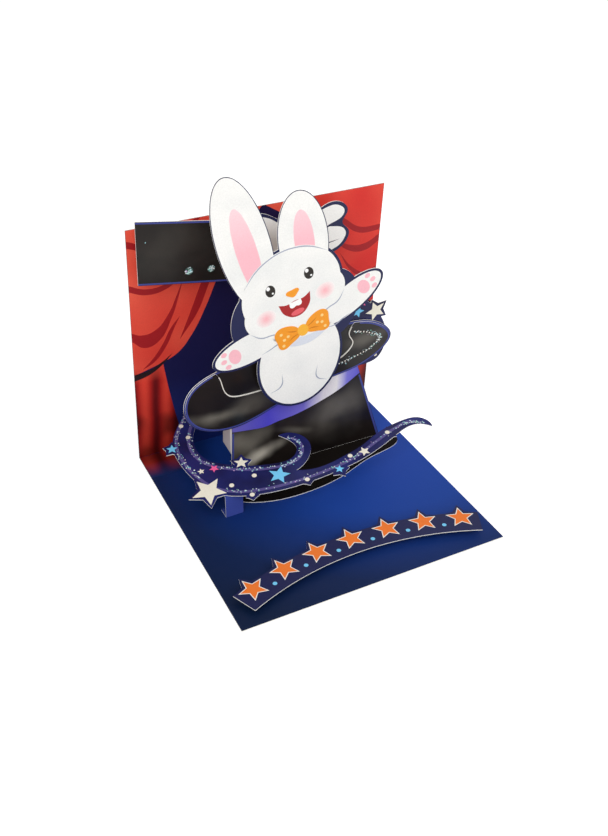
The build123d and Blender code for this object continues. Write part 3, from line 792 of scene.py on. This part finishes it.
# Mid grey: seen near by, and gone at arm's length
soft_line = board("soft_grey_drawing_ink", "#A3A9BA")
body_lines = [
    stroke([(-12, 86), (-8.6, 83.4), (-9, 80), (-14, 76.4), (-20, 73.6)], 0.55),
    stroke([(12.4, 80.4), (17, 80.8), (21, 83.4), (25, 85.6)], 0.55),
    stroke([(-15, 50), (-9.4, 53), (-9.2, 60)], 0.55),
    stroke([(15, 50), (9.4, 53), (9.2, 60)], 0.55),
]
print_field("rabbit_body_lines", RABBIT, body_lines, soft_line, 3)
head_lines = [
    stroke([(-20.5, 117.5), (-13, 123.6), (-6, 126.4), (0, 127.2), (6, 126.4), (13, 123.6),
            (20.5, 117.5)], 0.5),
    stroke([(-24, 93.2), (-19.6, 88.6), (-14.5, 87.4), (-8, 84.8), (0, 83.4), (8, 84.8), (14.5, 87.4),
            (19.6, 88.6), (24, 93.2)], 0.55),
]
print_field("rabbit_head_lines", HEAD, head_lines, soft_line, 6)
print("lines:", len(body_lines) + len(head_lines))

# %% [markdown]
# ## The rabbit's face
#
# A simple, friendly face: two eyes with lights in them, a small orange nose, and a laughing mouth with teeth.
# The cheeks blush, which is a pink that fades to white, as a stipple of fine dots does in print.

# %% Rabbit face
CHEEKS, EYES_X = ((-15, 97.5), (15, 97.5)), (-9.6, 9.6)


def blush_colour(tree, here):
    nearest = 0.0
    for x, y in CHEEKS:
        middle = HEAD @ (Vector((x, y, 0)) * MM)
        away = node(tree, "VectorMath", {0: here, 1: middle}, out="Value", operation="DISTANCE")
        near = node(tree, "MapRange", {"Value": away, "From Min": 5.2 * MM, "From Max": 0.6 * MM})
        nearest = node(tree, "Math", {0: near, 1: nearest}, operation="MAXIMUM")
    return node(tree, "Mix", {0: nearest, 6: "#F6F5F2", 7: "#F8BBC0"}, **MIX)


# Pink that fades into the white round it, so the cheek has a warm glow and no edge
blush = board("soft_pink_blush_ink", blush_colour)
print_field("rabbit_blush", HEAD, [oval(x, y, 10, 8.4) for x, y in CHEEKS], blush, 5)
# Deep red, rose and white: a mouth that reads as open from across a room
mouth_red = board("deep_red_mouth_ink", "#A8292B")
rose = board("rose_tongue_ink", "#E5636A")
white = board("white_highlight_ink", "#FBFBF9")
mouth = [(-8, 101, C), (-4, 99.4), (0, 99.9), (4, 99.4), (8, 101, C), (6, 94.4), (0, 91), (-6, 94.4)]
teeth = [(-2.9, 99.55, C), (2.9, 99.55, C), (2.7, 96.9), (1.4, 96.4), (0, 96.9), (-1.4, 96.4), (-2.7, 96.9)]
print_field("rabbit_mouth", HEAD, [mouth], mouth_red, 5)
print_field("rabbit_tongue", HEAD, [oval(0, 93.3, 6.6, 3.0)], rose, 6)
print_field("rabbit_teeth", HEAD, [teeth], white, 6)
# Warm orange for the nose and the bow, the brightest spots on the sheet
orange = board("orange_offset_ink", "#F39B2B")
nose = [(-3.2, 105.2), (0, 106), (3.2, 105.2), (1.8, 103), (0, 102), (-1.8, 103)]
print_field("rabbit_nose", HEAD, [nose], orange, 6)
# Almost black, with a brown cast that is softer than pure black on white
dark = board("dark_drawing_ink", "#2B2622", 0.4)
eyes = [oval(x, 110.5, 4.6, 6.2) for x in EYES_X]
glints = [oval(x - 0.7, 112.2, 1.7, 2.0) for x in EYES_X] + [oval(x + 0.8, 108.9, 0.9, 1.0) for x in EYES_X]
print_field("rabbit_eyes", HEAD, eyes, dark, 5)
print_field("rabbit_eye_lights", HEAD, glints, white, 6)
print("eyes:", len(eyes), "lights:", len(glints))

# %% [markdown]
# ## The bow tie
#
# An orange bow with paler dots. Two creases run from the knot into each loop, and the knot is a yellower
# orange, so it stands in front of the loops without a line round it. One loop is drawn and then mirrored.

# %% Bow tie
def bow_loop(hand, shapes):
    """Points of the right loop, mirrored for the left one."""
    return [[(hand * x, y) for x, y in shape] for shape in shapes]


loop_shape = ((1.4, 83.4), (7, 88.2), (12.9, 87.4), (13.4, 81.4), (12, 76.8), (6.6, 77.8), (1.4, 81))
creases = (((2.2, 83), (5, 84), (7.8, 85.6)), ((2.2, 81.4), (5.2, 80.9), (8, 79.6)))
dot_places = ((10.6, 85.2), (9.8, 81.6), (10.8, 78.6), (7.6, 82.6))
loops, crease_lines, bow_dots = [], [], []
for hand in (-1, 1):
    loops += bow_loop(hand, [loop_shape])
    crease_lines += [stroke(line, 0.6) for line in bow_loop(hand, creases)]
    bow_dots += [oval(hand * x, y, 1.5, 1.5, count=8) for x, y in dot_places]
# A deeper orange for the creases, and two yellows for the knot and the dots, give the flat bow some depth
deep_orange = board("deep_orange_crease_ink", "#D2771B")
amber = board("amber_knot_ink", "#F7B53C")
butter = board("butter_yellow_dot_ink", "#FBD58A")
print_field("bow_loops", HEAD, loops, orange, 7)
print_field("bow_creases", HEAD, crease_lines, deep_orange, 8)
print_field("bow_dots", HEAD, bow_dots, butter, 8)
print_field("bow_knot", HEAD, [oval(0, 82.2, 5.4, 6.4)], amber, 9)
print("bow dots:", len(bow_dots))

# %% [markdown]
# ## The arm
#
# The sleeve is the same black as the hat, with its painted sheen and a faint painted highlight, and a violet
# line along its seams. The glove is white, with a margin of navy left round it, and a painted warm grey
# shade in the palm. Its outline is drawn in shares of its length and width.

# %% Sleeve and glove
CUFF_X, GLOVE_AT, GLOVE_LENGTH, GLOVE_WIDTH = -19, (-17, 113.5), 59, 34


def arm_colour(tree, here):
    across = node(tree, "SeparateXYZ", {0: here}, out="X")
    past_cuff = node(tree, "Math", {0: across, 1: CUFF_X * MM}, operation="GREATER_THAN")
    return node(tree, "Mix", {0: past_cuff, 6: hat_black(tree, here, SLEEVE_PAINTED_HIGHLIGHTS), 7: MARGIN}, **MIX)


def glove_colour_with_painted_shade(tree, here):
    # Painted shade: the white falls to warm grey near the middle of the palm
    palm_shade_centre = ARM @ (Vector((1, 110, 0)) * MM)
    away = node(tree, "VectorMath", {0: here, 1: palm_shade_centre}, out="Value", operation="DISTANCE")
    near = node(tree, "MapRange", {"Value": away, "From Min": 19 * MM, "From Max": 5 * MM})
    return node(tree, "Mix", {0: near, 6: "#F5F4F1", 7: "#B9AFA8"}, **MIX)


# Satin black: duller than the hat, so the sleeve stays behind it; it carries the hat's painted sheen and a
# faint painted highlight
dress(board("satin_black_sleeve_sheet_with_painted_highlight", cut_sheet(arm_colour, FORWARD), 0.42, coat=0.05, warp=0.3), "arm")
seams = [
    [(-62.9, 136.9, C), (-62.9, 136.1, C), (CUFF_X, 128.7, C), (CUFF_X, 129.5, C)],
    [(-62.9, 105.7, C), (CUFF_X, 98.2, C), (CUFF_X, 99, C), (-62.9, 106.5, C)],
]
print_field("sleeve_seams", ARM, seams, violet)
glove_shares = [
    (-0.02, -0.26), (-0.01, 0.29), (0.13, 0.45), (0.26, 0.41), (0.44, 0.23), (0.62, 0.23), (0.78, 0.39),
    (0.9, 0.39), (0.95, 0.27), (0.8, 0.1, C), (0.97, -0.02), (0.955, -0.18), (0.85, -0.3), (0.55, -0.41),
    (0.2, -0.45),
]
# White that falls to a warm grey in the palm: a painted shade, which makes the flat glove look cupped
glove = board("white_glove_ink_with_painted_palm_shade", glove_colour_with_painted_shade)
glove_line = []
for x, y, *corner in glove_shares:
    glove_line.append((GLOVE_AT[0] + GLOVE_LENGTH * x, GLOVE_AT[1] + GLOVE_WIDTH * y, *corner))
print_field("glove_white", ARM, [glove_line], glove)
fingers = [
    stroke([(36.8, 117.6), (31, 116.6), (25, 114.6), (20, 114.4)], 0.6),
    stroke([(37.6, 108.6), (31, 107.6), (25, 106.8), (20, 107.4)], 0.6),
    stroke([(-14, 118.5), (-13.4, 113), (-14.2, 107.6)], 0.6),
]
# Navy, softer than black, so the few lines on the glove look drawn with a pen
navy_line = board("navy_drawing_ink", "#2E3048")
print_field("glove_lines", ARM, fingers, navy_line, 2)
print("glove points:", len(glove_shares))

# %% [markdown]
# ## Buttons
#
# The cuff buttons are drops of glitter glue: a dark sea-green base, thick with flakes. The flakes are
# scattered evenly over each drop, and one more lies loose near the shoulder.

# %% Buttons
FLAKES_EACH = 26
buttons = [(-39.1, 107.9, 2.0), (-28.4, 106.8, 1.8)]
# Dark under the flakes, so that the bright ones stand out
sea_green = board("sea_green_glitter_base", "#3E5A55", 0.3, coat=0.3)
drops = [oval(x, y, 2 * r, 2 * r) for x, y, r in buttons]
print_field("sleeve_buttons", ARM, drops, sea_green, 2)
rng = random.Random(8)
spots = []
for x, y, r in buttons:
    for _ in range(FLAKES_EACH):
        reach, turn = 0.9 * r * math.sqrt(rng.random()), rng.uniform(0, math.tau)
        spots.append((x + reach * math.cos(turn), y + reach * math.sin(turn)))
spots += sprinkle([(-60, 127), (-57, 125.5)], 0.8, 1, 9)
glitter("sleeve_glitter", ARM, spots, flakes, 10, (0.4, 0.9))
print("flakes on the sleeve:", len(spots))

# %% [markdown]
# ## The swirl and its lines
#
# A band of night blue runs round the hat, nearly level, with two lilac lines in it that swell and taper
# like strokes of a brush. One end folds up against the back panel, and a blue leg carries the other.

# %% Swirl
def night(tree, here):
    cloud = node(tree, "TexNoise", {"Vector": here, "Scale": per_mm(18), "Detail": 2.0})
    return node(tree, "ValToRGB", {0: cloud}, ((0.3, "#12123C"), (0.7, "#222769")))


def leg_colour(tree, here):
    sheet = cut_sheet("#3F4E9E", (0, -1, 0))(tree, here)
    return node(tree, "Mix", {0: facing(tree, UPWARD), 6: sheet, 7: "#35448F"}, **MIX)


# Night blue in slow clouds, like a sky, under a thin gloss
swirl_up = tuple(SWIRL.col[2].xyz)
dress(board("night_blue_printed_sheet", cut_sheet(night, swirl_up), 0.4, coat=0.1, warp=0.2), "swirl")
dress(board("night_blue_spray_sheet", cut_sheet(night, FORWARD), 0.4, coat=0.1, warp=0.2), "star_spray")
# A lighter blue than the floor, so the leg shows where it stands
dress(board("blue_satin_printed_strip", leg_colour, 0.4), "swirl_leg")
inner_line = [
    (6.2, 60), (3.2, 54.5), (-3.4, 46.2), (-6.8, 38.8), (-7.4, 31.6), (-5.2, 24), (1.8, 16.6), (12.2, 10.2),
    (23.2, 6), (31.6, 4.8), (37.6, 6.8), (41, 11.6), (40.6, 17.2), (37, 21),
]
outer_line = [
    (0.8, 60), (-4.9, 53), (-10.6, 45.4), (-13.4, 37), (-13.5, 27), (-11.4, 17.4), (-6.8, 7.6), (0.4, 1.2),
    (11, -3.2), (31, -6.6), (46, -7), (60, -5.9), (76, -1.2), (88, 2), (97, 2.4), (102, -1),
]
# Lilac, halfway between the blue sheet and the pale flakes, so that the glitter seems to glow
lilac = board("lilac_glitter_base_ink", "#564D84", 0.35)
print_field("swirl_lines", SWIRL, [stroke(inner_line, 1.5), stroke(outer_line, 1.5)], lilac)
print("points on the lines:", len(inner_line) + len(outer_line))

# %% [markdown]
# ## Stars
#
# Stars in cream, light blue and pink are scattered along the swirl, and round dots between them.
# The same inks print the spray behind the brim. A star is ten corners on two circles, so one function
# draws them all from a place, a size and a turn.

# %% Stars
# Three flat, clear inks, light enough to jump off the night blue
cream = board("cream_star_ink", "#E9E3D2")
sky = board("light_blue_star_ink", "#74C6EE")
bright_pink = board("pink_star_ink", "#F0609A")
swirl_dots = [(-5.9, 51.2), (-5.6, 42.6), (12.9, 5.7), (1, 5), (7.2, -4.4), (82.7, 1.2), (34, -7.8), (59, -4)]
swirl_stars = (
    ("cream", cream, [
        (-9.8, 6.6, 8.4, 38), (10.7, 15.8, 3.6, 66), (66.5, -4.6, 3.0, 20), (-8.4, 19.4, 1.8, 10),
    ]),
    ("blue", sky, [(-15.5, 38.9, 2.9, 70), (23.5, 0.7, 5.4, 54), (50.5, -9, 2.4, 60)]),
    ("pink", bright_pink, [(-2.2, 18.3, 2.4, 30)]),
)
for name, ink, stars in swirl_stars:
    print_field(f"swirl_{name}_stars", SWIRL, [star(*each) for each in stars], ink, 2)
round_dots = [oval(x, y, 2.3, 2.3, count=10) for x, y in swirl_dots]
print_field("swirl_dots", SWIRL, round_dots, cream, 2)
spray_cream = [star(44.6, 79.6, 5.5, 39), oval(47, 53.2, 1.6, 1.6), oval(38.9, 51.1, 1.4, 1.4)]
print_field("spray_cream_stars", SPRAY, spray_cream, cream, 2)
print_field("spray_blue_star", SPRAY, [star(34.7, 81.5, 3.5, 70)], sky, 2)
print_field("spray_pink_star", SPRAY, [star(37.4, 85.5, 1.8, 20)], bright_pink, 2)
print("stars:", sum(len(stars) for _, _, stars in swirl_stars) + 3, "dots:", len(swirl_dots) + 2)

# %% [markdown]
# ## Glitter on the swirl
#
# The lilac lines are drawn over with clear glue and dusted with glitter, so the flakes scatter a little
# past them. The glue is kept off the stars and dots, which stay clean, and ends short of the fold at the
# back panel. A fixed seed throws the flakes the same way each time.

# %% Swirl glitter
GLUE_END, DOT_CLEAR = 57, 1.5
kept_clean = [(x, y, DOT_CLEAR) for x, y in swirl_dots]
for _, _, stars in swirl_stars:
    kept_clean += [(x, y, radius) for x, y, radius, _ in stars]
spots = []
for x, y in sprinkle(inner_line, 1.2, 230, 11) + sprinkle(outer_line, 1.2, 260, 12):
    if y < GLUE_END and all(math.hypot(x - at_x, y - at_y) > reach for at_x, at_y, reach in kept_clean):
        spots.append((x, y))
glitter("swirl_glitter", SWIRL, spots, flakes, 13, (0.3, 0.75))
print("flakes on the swirl:", len(spots))

# %% [markdown]
# ## The banner
#
# The arch at the front carries a row of orange stars, each with a pale rim, on navy.
# They stand on a circle about a point in front of the card, so each one is turned a little more than the
# last. The circle is the one that the arch was cut to.

# %% Banner
# Navy that is darker than the floor, so that the arch shows without a line
dress(board("navy_banner_printed_sheet", cut_sheet("#191D48", UPWARD)), "banner")
# Orange a little redder than the bow, since the strong rims make it look paler
star_orange = board("orange_star_ink", "#E8762C")
ARCH_Y, ARCH_EDGE, ARCH_SPAN, END_INSET = -188, 152.5, 127, 8.5
STAR_LINE, DOT_LINE, STAR_COUNT, STAR_REACH, RIM_WIDTH = 149.2, 145, 7, 7.0, 1.0
half_row = ARCH_SPAN / 2 / ARCH_EDGE - END_INSET / STAR_LINE
rims, fills, between = [], [], []
for k in range(STAR_COUNT):
    turn = half_row * (2 * k / (STAR_COUNT - 1) - 1)
    at = (STAR_LINE * math.sin(turn), ARCH_Y + STAR_LINE * math.cos(turn))
    rims.append(star(*at, STAR_REACH, 90 - math.degrees(turn)))
    fills.append(star(*at, STAR_REACH - RIM_WIDTH, 90 - math.degrees(turn)))
    if k < STAR_COUNT - 1:
        turn += half_row / (STAR_COUNT - 1)
        at = (DOT_LINE * math.sin(turn), ARCH_Y + DOT_LINE * math.cos(turn))
        between.append(oval(*at, 2.0, 2.0, count=10))
print_field("banner_star_rims", BANNER, rims, pale)
print_field("banner_stars", BANNER, fills, star_orange, 2)
print_field("banner_dots", BANNER, between, sky)
print("banner stars:", len(fills))

# %% [markdown]
# ## The strips
#
# The strips behind the layers are unprinted board, since nobody looks at them. Only the two under the banner
# can be seen from the front, and those are printed blue like the floor.

# %% Strips
strips = [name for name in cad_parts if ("riser" in name or "brace" in name) and "banner" not in name]
# Matt and off-white, with the tooth of bare board
dress(board("plain_uncoated_board", "#ECEAE4", 0.75), *strips)
# Blue that melts into the floor
dress(board("blue_printed_riser_strip", "#1A2756", 0.5), "banner_riser_left", "banner_riser_right")
print("plain strips:", strips)

# %% [markdown]
# ## Camera
#
# The camera looks down at the card from its left, from about half a metre. The picture is nearly twice as
# tall as the card needs, so the lens is shifted a little to set the card in its middle.

# %% Camera
scene = bpy.context.scene
scene.view_settings.view_transform = "Standard"
camera = bpy.data.objects.new("camera", bpy.data.cameras.new("camera"))
scene.collection.objects.link(camera)
scene.camera = camera
azimuth, elevation, tilt = math.radians(-26.68), math.radians(30.17), math.radians(0.35)
flat = math.cos(elevation)
back = Vector((math.sin(azimuth) * flat, -math.cos(azimuth) * flat, math.sin(elevation)))
across = Vector((0, 0, 1)).cross(back).normalized()
turn = Matrix((across, back.cross(across), back)).transposed().to_4x4()
stand = Matrix.Translation(Vector((-175.1, -338.8, 308.6)) * MM)
camera.matrix_world = stand @ turn @ Matrix.Rotation(tilt, 4, "Z")
camera.data.lens, camera.data.sensor_width = 43.36, 36
SHIFT_PIXELS, PICTURE_PIXELS = -78, 836
camera.data.shift_y = SHIFT_PIXELS / PICTURE_PIXELS
camera.data.clip_start = 0.01
print("camera lens", camera.data.lens, "shift", round(camera.data.shift_y, 4))

# %% [markdown]
# ## Floor and light
#
# A white paper floor, a white sky and two large soft lamps, as in a small product studio.
# The camera, and the rays that mirror or pass through things, see floor and sky as plain white.
# The light that falls on the card is lower, so that white paper keeps its tone and the shadow stays on the
# floor.

# %% Studio
def seen(tree):
    """One for rays that show the studio itself, and nought for those that light things."""
    shown = node(tree, "LightPath", out="Is Camera Ray")
    for kind in ("Is Glossy Ray", "Is Transmission Ray"):
        shown = node(tree, "Math", {0: shown, 1: node(tree, "LightPath", out=kind)}, operation="MAXIMUM")
    return shown


# The floor lies a little under the card, so that the two faces never share a plane
FLOOR_HALF, FLOOR_DROP = 3.0, 0.3 * MM
signs = ((-1, -1), (1, -1), (1, 1), (-1, 1))
corners = [(FLOOR_HALF * x, FLOOR_HALF * y, -FLOOR_DROP) for x, y in signs]
floor_mesh = bpy.data.meshes.new("studio_floor")
floor_mesh.from_pydata(corners, [], [(0, 1, 2, 3)])
floor = bpy.data.objects.new("studio_floor", floor_mesh)
scene.collection.objects.link(floor)
# Matt paper, lifted to white where the studio itself is seen
paper = board("white_studio_paper", "#F7F7F7", 0.8)
shader = next(each for each in paper.node_tree.nodes if each.type == "BSDF_PRINCIPLED")
shader.inputs["Emission Color"].default_value = linear("#FFFFFF")
lift = node(paper.node_tree, "Math", {0: seen(paper.node_tree), 1: 0.45}, operation="MULTIPLY")
paper.node_tree.links.new(lift, shader.inputs["Emission Strength"])
floor_mesh.materials.append(paper)

for name, stands, energy in (("key", (-0.55, -0.8, 1.0), 8.4), ("fill", (0.8, -0.6, 0.7), 4.4)):
    lamp = bpy.data.lights.new(name, "AREA")
    lamp.energy, lamp.size = energy, 0.9
    holder = bpy.data.objects.new(name, lamp)
    holder.location = stands
    holder.rotation_euler = (Vector((0, 0, 0.05)) - Vector(stands)).to_track_quat("-Z", "Y").to_euler()
    scene.collection.objects.link(holder)

scene.world = bpy.data.worlds.new("white_studio")
scene.world.use_nodes = True
tree = scene.world.node_tree
tree.nodes.clear()
strength = node(tree, "MapRange", {"Value": seen(tree), "To Min": 0.55, "To Max": 1.0})
light = node(tree, "Background", {"Color": "#FFFFFF", "Strength": strength})
node(tree, "OutputWorld", {"Surface": light})
